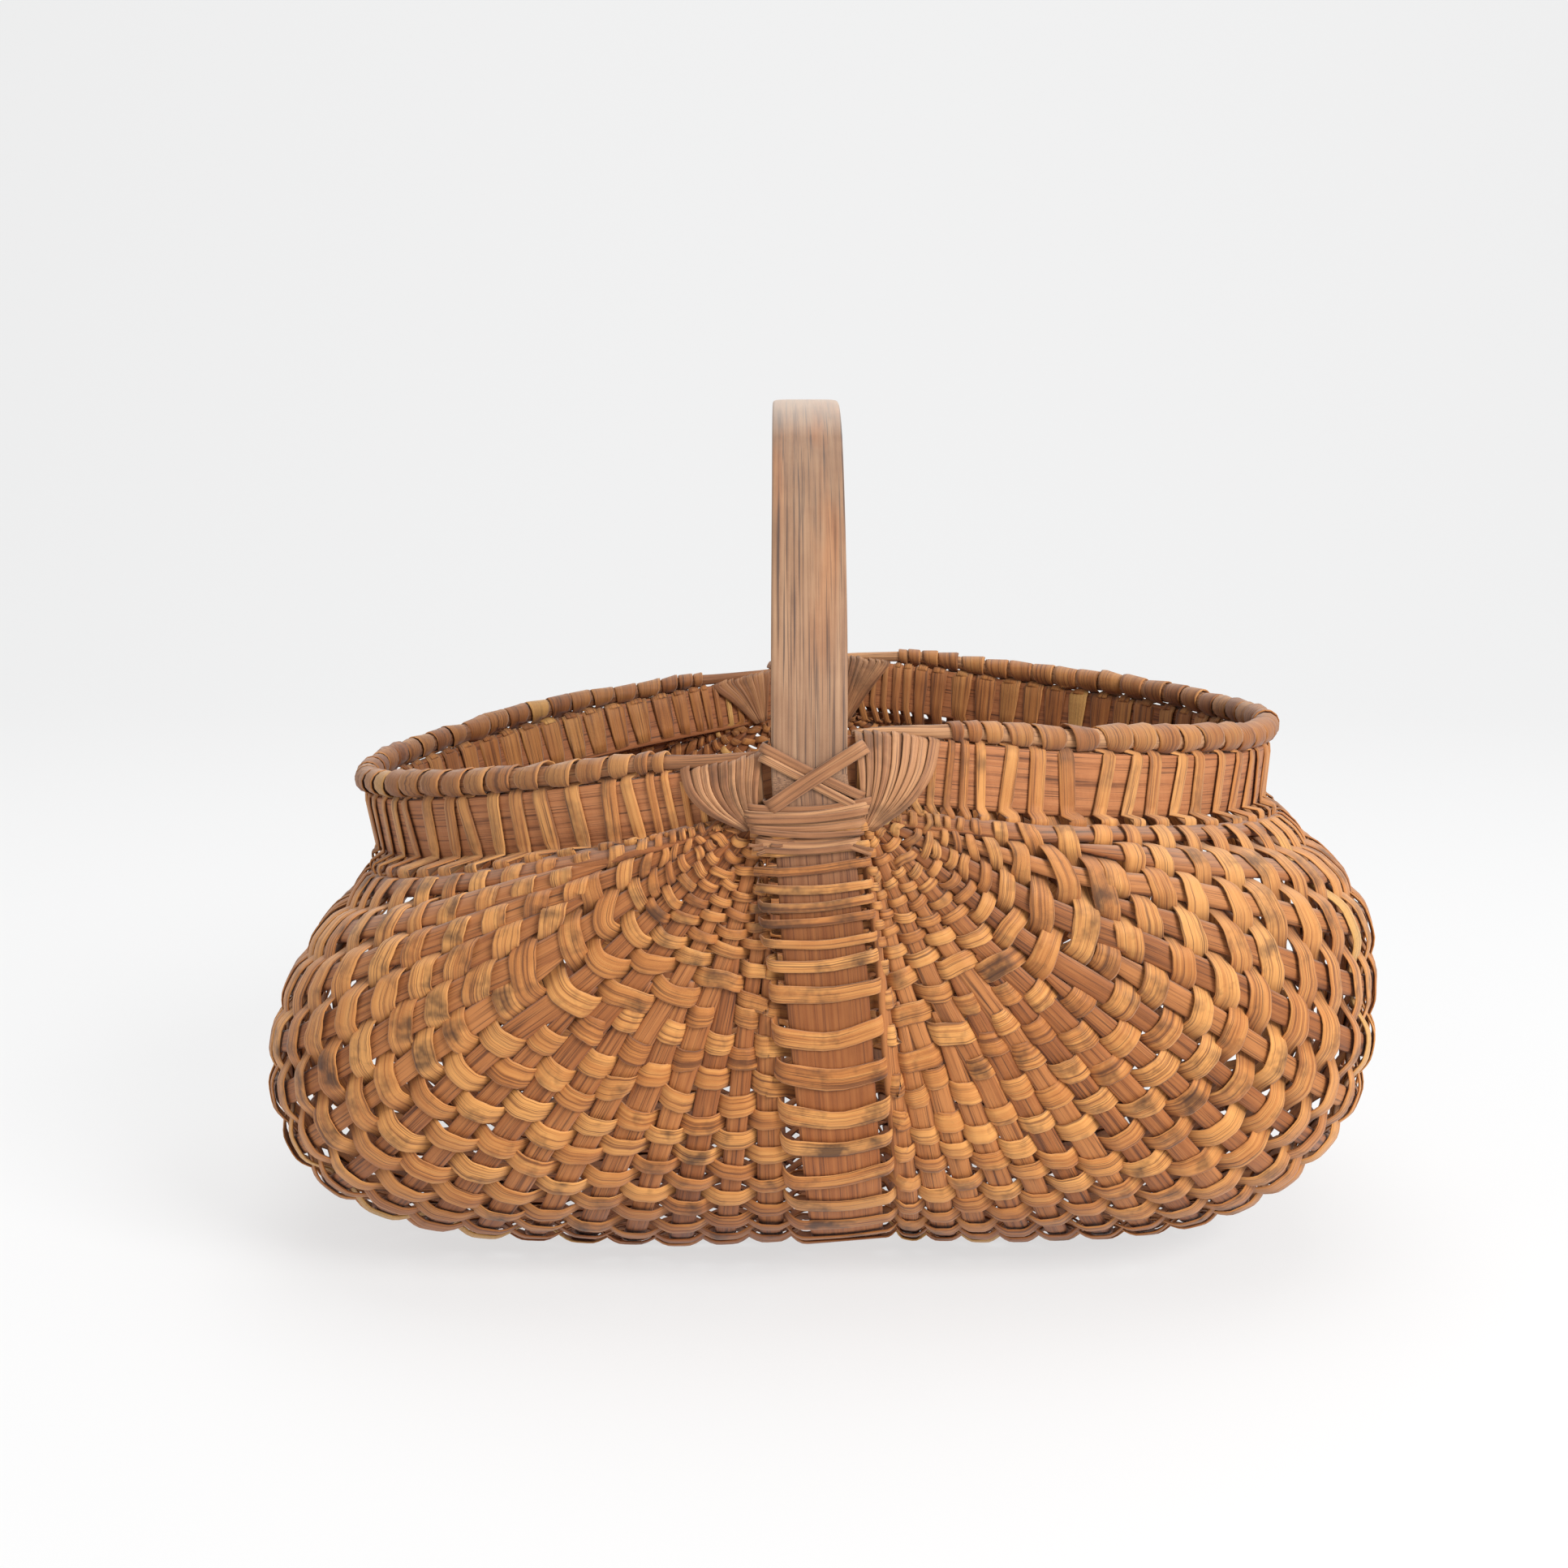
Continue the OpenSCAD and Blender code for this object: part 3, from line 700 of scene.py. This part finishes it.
def weave_row(build, r, phi, gap, rng):
    stations = []
    for s0, side, i in PLACES:
        turn = row_line(np.array([s0]), phi)
        late = i % 4 == 2 and past_ear(phi) < joining(side, i)
        if late or reach_of(s0, turn)[0] < rib_start(s0, side, i) + 3:
            continue
        here = float(rib_line(s0, side, i, turn)[0])
        near_ear = past_ear(phi) < parting(side, i) + math.radians(2)
        together = near_ear and stations and stations[-1][1] == (side, i // 2)
        if together:
            stations[-1][0].append(here)
        else:
            stations.append(([here], (side, i // 2)))
    stations.append(([S_SPINE - 11.6, S_SPINE + 11.6], (0, 0)))
    stations.sort()
    middle = [kind for _, kind in stations].index((0, 0))
    sign = 1 if r % 2 == 0 else -1
    waves = [(rng.uniform(0.6, 1.5), rng.uniform(0, 6.3), rng.uniform(18, 60)) for _ in range(3)]
    width_waves = [(rng.uniform(0.02, 0.06), rng.uniform(0, 6.3), rng.uniform(25, 90)) for _ in range(2)]
    swing_here = (RIB_T + STRAP_T) / 2 + 0.12
    spots = [(0.0, sign * RIM_GAP, sign)]
    for k, (over, kind) in enumerate(stations):
        w = sign * (1 if (k - middle) % 2 == 0 else -1)
        swing = (HOOP_T + STRAP_T) / 2 + 0.1 if k == middle else swing_here * rng.uniform(0.97, 1.16)
        spots += [(s, w * swing, w) for s in over]
    spots.append((S_END, -sign * RIM_GAP, -sign))
    # the path leaves the band's lower edge
    spots[0] = (min(band_edge(1, phi), spots[1][0] - 3), spots[0][1], spots[0][2])
    spots[-1] = (max(band_edge(-1, phi), spots[-2][0] + 3), spots[-1][1], spots[-1][2])
    s_list, off_list, w_list = [], [], []
    for (s0, a0, w0), (s1, a1, w1) in zip(spots, spots[1:]):
        m = 9 if a0 * a1 < 0 else 5
        for q in range(m):
            t = q / m
            e = 0.15
            tt = min(1, max(0, (t - e) / (1 - 2 * e)))
            c = (1 - math.cos(math.pi * tt)) / 2
            s_list.append(s0 + (s1 - s0) * t)
            off_list.append(a0 + (a1 - a0) * c)
            w_list.append(w0 + (w1 - w0) * c)
    s_list.append(spots[-1][0])
    off_list.append(spots[-1][1])
    w_list.append(spots[-1][2])
    s = np.array(s_list)
    off = np.array(off_list)
    # over (+1) or under (-1) the ribs: under becomes painted shade in the material, over gets handling stains
    wear_and_shade = np.array(w_list)
    phi_s = row_line(s, phi)
    for amp, ph, wl in waves:
        phi_s += gap * 0.10 * amp * np.sin(s / wl * 2 + ph)
    # the weave sags a little over the spine
    sag = gap * (0.5 if phi < math.pi / 2 else -0.5)
    phi_s += sag * np.exp(-((s - S_SPINE) / 15) ** 2) * min(1, math.sin(phi) * 3)
    p, along, out = belly(s, phi_s)
    p_a = belly_raw(s, row_line(s, phi + gap / 2))
    p_b = belly_raw(s, row_line(s, phi - gap / 2))
    room = np.linalg.norm(p_a - p_b, axis=1)
    half_w = room * STRAP_FILL / 2
    for amp, ph, wl in width_waves:
        half_w = half_w * (1 + amp * np.sin(s / wl * 6 + ph))
    half_w = np.clip(half_w, STRAP_HALF_MIN, STRAP_HALF_MAX)
    centre = p + out * off[:, None]

    slant = gap * rng.uniform(-0.55, 0.55)
    start, end = rim_end(1, phi, gap, w_list[0] > 0, slant), rim_end(-1, phi, gap, w_list[-1] > 0, slant)
    centre = np.vstack([start[0], centre, end[0][::-1]])
    side = np.vstack([start[1], along, end[1][::-1]])
    n1, n2 = len(start[0]), len(end[0])
    first, last = min(RIM_STRAP_HALF, half_w[0]), min(RIM_STRAP_HALF, half_w[-1])
    half_w = np.concatenate([first * (1 - start[2]) + 0.9 * room[0] * start[2], half_w,
                             last * (1 - end[2][::-1]) + 0.9 * room[-1] * end[2][::-1]])
    wear_and_shade = np.concatenate([np.full(n1, 0.8 * (w_list[0] > 0)), wear_and_shade, np.full(n2, 0.8 * (w_list[-1] > 0))])
    for _ in range(2):
        half_w[1:-1] = (half_w[:-2] + 2 * half_w[1:-1] + half_w[2:]) / 4
    side, outv = frames_along(centre, side)
    # a slight roll of the strip about its own length
    roll = 0.10 * np.sin(np.arange(len(centre)) / 9 + rng.uniform(0, 6)) + rng.uniform(-0.06, 0.06)
    side2 = side * np.cos(roll)[:, None] + outv * np.sin(roll)[:, None]
    out2 = outv * np.cos(roll)[:, None] - side * np.sin(roll)[:, None]
    build.sweep(centre, side2, out2, half_w, STRAP_T / 2, STRAP, r * 1.37 + 0.5, wear_and_shade=wear_and_shade, start=r * 37.0)


def rim_end(side, phi, gap, outside, slant):
    """The end of a weaver at the rim, listed from its tip towards the belly.

    It comes up outside the band, goes in between band and rod, once round the rod and in again.
    """
    bare = past_ear(phi) < math.asin(min(1, 40 / RIM[side][1]))
    pts, sides, wide = [], [], []
    lean = gap

    def at_band(turn, up_by, out_by):
        p, h, o, u = rim_frame(side, np.array([phi + turn]))
        pts.append((p + u * up_by + o * out_by)[0])
        sides.append(h[0])
        wide.append(0.0)

    if outside and not bare:
        at_band(lean, BAND_H / 2 - 1, -RIM_GAP)
        at_band(lean, BAND_H / 2 + 0.5, -RIM_GAP * 0.5)
        for k in range(13):
            t = k / 12
            a = math.radians(-80 + 340 * t)
            c, h, o, u, r = rod_centre(side, np.array([phi + lean * (0.9 - t)]))
            rr = r[0] + STRAP_T / 2 + 0.1
            pts.append(c[0] + o[0] * math.cos(a) * rr + u[0] * math.sin(a) * rr)
            sides.append(h[0])
            wide.append(math.sin(math.pi * t) ** 0.5)
        at_band(slant, BAND_H / 2 + 0.9, 0.2)
        at_band(slant, BAND_H / 2 - 0.6, RIM_GAP * 0.8)
        for height in (7.0, 3.0, -2.0, -6.0, -9.0):
            at_band(slant * (height + 9) / 19, height, RIM_GAP)
    elif outside:
        for height in (7.5, 4.5, 1.0, -2.0, -6.0, -9.0):
            at_band(0, height, RIM_GAP)
    else:
        at_band(0, BAND_H / 2 + 0.3, -RIM_GAP * 0.5)
        for height in (8, 4, 0, -4, -8):
            at_band(0, height, -RIM_GAP)
        wide = [0.85, 0.85, 0.75, 0.6, 0.4, 0.2] if not bare else wide
    return np.array(pts), np.array(sides), np.array(wide)


# ---------------------------------------------------------------- ear bindings
def strip(build, points, side, half_w, seed, wear_and_shade=0.5, thick=STRAP_T / 2, steps=5):
    """A strap through a few points, smoothed, lying across side."""
    line = catmull(points, steps)
    side = np.broadcast_to(np.asarray(side, float), line.shape)
    sd, out = frames_along(line, side)
    build.sweep(line, sd, out, half_w, thick, STRAP, seed, wear_and_shade=np.full(len(line), wear_and_shade), start=seed * 11.0)


def mirror_y(points, end):
    return [(x, -y if end > 0 else y, z) for x, y, z in points]


def across_front(x0, z0, x1, z1, y, back, bow=0.0):
    """Points of a strap that lies flat on the front of the hoop and turns back at both edges."""
    pts = [(x0 + 0.6, back, z0), (x0 - 0.9, y + 3.2, z0), (x0 - 0.2, y + 0.9, z0)]
    for t in (0.06, 0.2, 0.35, 0.5, 0.65, 0.8, 0.94):
        pts.append((x0 + (x1 - x0) * t, y, z0 + (z1 - z0) * t + bow * math.sin(math.pi * t)))
    return pts + [(x1 + 0.2, y + 0.9, z1), (x1 + 0.9, y + 3.2, z1), (x1 - 0.6, back, z1)]


def build_cross(label, end, front, back):
    cross = Build(f"Cross_lashing_{label}", f"cross_lashing_{label}", "binding_splint", BINDING)
    z = EAR
    straps = [
        ((-13.4, z + 8.2), (15.6, z - 6.2), 1.5, 0.55), ((-13.6, z + 5.2), (14.6, z - 9.6), 1.35, 0.6),
        ((-11.6, z - 9.4), (15.8, z + 8.6), 2.3, 1.75),
    ]
    for k, (low, high, half, lift) in enumerate(straps):
        pts = across_front(*low, *high, front - lift, back, 0.3 * (k - 1))
        nrm = unit(np.array([high[1] - low[1], 0, -(high[0] - low[0])]))
        strip(cross, mirror_y(pts, end), -nrm if end < 0 else nrm, half, 300 + 7 * k, thick=0.32)
    upright = ((14.6, 0.4, 8.8, -10.5), (16.4, -1.5, 6.0, -11.5),
               (-15.0, 0.9, 4.0, -12.5), (-17.0, 2.0, 0.5, -12.5))
    for k, (x, lean, top, low) in enumerate(upright):
        y = back - 2.2 - 0.3 * (k % 2)
        pts = [(x, y + 0.5, z + top), (x - 0.1, y - 0.9, z + top - 1.2),
               (x + lean * 0.4, y - 1.2, z + (top + low) / 2),
               (x + lean, y - 1.0, z + low)]
        strip(cross, mirror_y(pts, end), (1, 0, 0) if end < 0 else (-1, 0, 0), 0.95, 320 + k, thick=0.3)
    cross.finish()


def build_binding(label, end, front, back, rng):
    binding = Build(f"Ear_binding_{label}", f"ear_binding_{label}", "binding_splint", BINDING)
    for i in range(9):
        z = EAR - 8.6 - 1.62 * i
        tilt = 0.9 - 0.12 * i + rng.uniform(-0.7, 0.7)
        y = front - 0.45 - 0.55 * (i % 3)
        left, right = -18.2 + 0.55 * i + rng.uniform(-0.8, 0.8), 17.6 - 0.6 * i + rng.uniform(-0.8, 0.8)
        pts = across_front(left, z - tilt, right, z + tilt, y, back + 0.5, -0.9 - rng.uniform(0, 0.8))
        half = rng.uniform(0.85, 1.35)
        strip(binding, mirror_y(pts, end), (0, 0, 1 if end < 0 else -1), half, 330 + i, thick=0.3)
    for i in range(6):
        x = -15 + 2.2 * i if i < 4 else 15 - 1.6 * (i - 4)
        z = EAR - 21.5 - 0.5 * (i % 3)
        turn = -1 if i < 4 else 1
        pts = [(x - turn * 5, front - 0.5, z + 2.2), (x, front - 1.3, z + 0.6),
               (x + turn * (3 + i % 3), front - 2.0, z + 0.9 - 0.9 * (i % 3))]
        strip(binding, mirror_y(pts, end), (0, 0, 1 if end < 0 else -1), 0.55, 345 + i, thick=0.2)
    binding.finish()


def build_fan(label, end, side, name, rng):
    fan = Build(f"Ear_fan_{name}_{label}", f"ear_fan_{name}_{label}", "binding_splint", BINDING)
    ahead = -1 if end < 0 else 1
    count = 9
    for i in range(count):
        x_top = 15.2 + 2.6 * i + rng.uniform(-0.3, 0.3)
        phi = math.asin(min(1, x_top / RIM[side][1]))
        if end > 0:
            phi = math.pi - phi
        p, h, o, u = (a[0] for a in rim_frame(side, np.array([phi])))
        off = (BAND_T + STRAP_T) / 2 + 0.3 + 0.22 * (count - i) * 0.6
        tip = np.array([side * (15.8 + 0.45 * i), ahead * (HALF_DEPTH + 4.4 - 0.1 * i),
                        EAR - 15.5 - 0.35 * i + 0.1 * i * i / 4])
        tip_in = np.array([tip[0], ahead * (HALF_DEPTH - 4.2), tip[2]])
        top = BAND_H / 2 + 0.2 + rng.uniform(-0.5, 0.5)
        bulge = 1.4 + 0.28 * i
        belly_x = np.array([side * (0.6 + 0.32 * i), 0, 0])
        front_top = p + u * (top - 1.2) + o * off
        pts = [tip, tip * 0.66 + front_top * 0.34 + o * bulge + belly_x,
               tip * 0.33 + front_top * 0.67 + o * bulge * 0.8 + belly_x, front_top,
               p + u * (top + 0.5) + o * (off * 0.6), p + u * (top + 0.7),
               p + u * (top + 0.5) - o * (off * 0.6),
               p + u * (top - 1.4) - o * off, tip_in * 0.4 + (p + u * top - o * off) * 0.6 - o * 0.9, tip_in]
        line = catmull([tuple(q) for q in pts], 5)
        sd, out = frames_along(line, np.broadcast_to(h, line.shape))
        mid = (line[0] + line[-1]) / 2
        if np.dot(out[len(out) // 2], line[len(line) // 2] - mid) < 0:
            sd, out = -sd, -out
        # each strap leans on the one before
        roll = 0.30 * (1 if np.dot(sd[0], [side, 0, 0]) > 0 else -1)
        sd, out = sd * math.cos(roll) - out * math.sin(roll), out * math.cos(roll) + sd * math.sin(roll)
        along = np.linspace(0, 1, len(line))
        wide = (0.8 + 1.15 * np.sin(np.clip(along * math.pi, 0, math.pi)) ** 0.8) * rng.uniform(0.88, 1.1)
        fan.sweep(line, sd, out, wide, 0.34, STRAP, 400 + i + 20 * side,
                  wear_and_shade=np.full(len(line), 0.9), start=i * 13.0)
    fan.finish()


def build_ears():
    rng = random.Random(5)
    front = -(HOOP_DEPTH + HOOP_T / 2)
    back = -(HALF_DEPTH - BAND_T / 2)
    for end, label in ((-1, "near"), (1, "far")):
        build_cross(label, end, front, back)
        build_binding(label, end, front, back, rng)
        build_fan(label, end, 1, "right", rng)
        build_fan(label, end, -1, "left", rng)


build_rim()
build_handle()
build_ribs()
build_weavers()
build_ears()


# ---------------------------------------------------------------- floor, light and camera
def plain(name, colour, roughness, glow):
    mat = bpy.data.materials.new(name)
    mat.use_nodes = True
    bsdf = mat.node_tree.nodes["Principled BSDF"]
    bsdf.inputs["Base Color"].default_value = (*colour, 1)
    bsdf.inputs["Roughness"].default_value = roughness
    bsdf.inputs["Specular IOR Level"].default_value = 0.1
    bsdf.inputs["Emission Color"].default_value = (1, 1, 1, 1)
    bsdf.inputs["Emission Strength"].default_value = glow
    return mat


def build_floor():
    size, rise = 3.0, 2.5
    pts = [(-size, y, z) for y, z in ((-size, 0), (1.6, 0))]
    for k in range(1, 13):
        a = math.pi / 2 * k / 12
        pts.append((-size, 1.6 + 1.0 * math.sin(a), 1.0 - 1.0 * math.cos(a)))
    pts.append((-size, 2.6, rise + 1))
    verts = pts + [(size, y, z) for _, y, z in pts]
    m = len(pts)
    faces = [[i, i + m, i + 1 + m, i + 1] for i in range(m - 1)]
    mesh = bpy.data.meshes.new("Floor")
    mesh.from_pydata(verts, [], faces)
    mesh.polygons.foreach_set("use_smooth", [True] * len(mesh.polygons))
    mesh.materials.append(plain("floor_paper", (0.22, 0.22, 0.22), 0.9, 0.652))
    obj = bpy.data.objects.new("Floor", mesh)
    bpy.context.scene.collection.objects.link(obj)


def area_light(name, place, aim, size, power, colour=(1, 1, 1)):
    data = bpy.data.lights.new(name, "AREA")
    data.shape = "RECTANGLE"
    data.size, data.size_y = size
    data.energy = power
    data.color = colour
    obj = bpy.data.objects.new(name, data)
    obj.location = place
    direction = np.array(aim, float) - np.array(place, float)
    obj.rotation_euler = Vector(direction).to_track_quat("-Z", "Y").to_euler()
    bpy.context.scene.collection.objects.link(obj)


build_floor()
area_light("Key", (1.3, -1.6, 1.3), (0, 0, 0.1), (1.0, 0.9), 59)
area_light("Fill", (-1.7, -1.2, 1.2), (0, 0, 0.1), (1.4, 1.2), 7)
area_light("Top", (0.1, 0.2, 2.2), (0, 0, 0.1), (1.8, 1.8), 25)
world = bpy.data.worlds.new("Studio")
world.use_nodes = True
world.node_tree.nodes["Background"].inputs[0].default_value = (0.97, 0.985, 1, 1)
world.node_tree.nodes["Background"].inputs[1].default_value = 0.47
bpy.context.scene.world = world
bpy.context.scene.view_settings.view_transform = "Standard"

camera = bpy.data.cameras.new("Camera")
camera.sensor_width = 36
camera.lens = 36 * 2554 / 1932
camera.clip_start = 0.05
cam = bpy.data.objects.new("Camera", camera)
cam.location = ((-7.5 + SHIFT_X) * MM, -0.760, 0.261)
cam.rotation_euler = (math.radians(90 - 8.0), 0, 0)
bpy.context.scene.collection.objects.link(cam)
bpy.context.scene.camera = cam
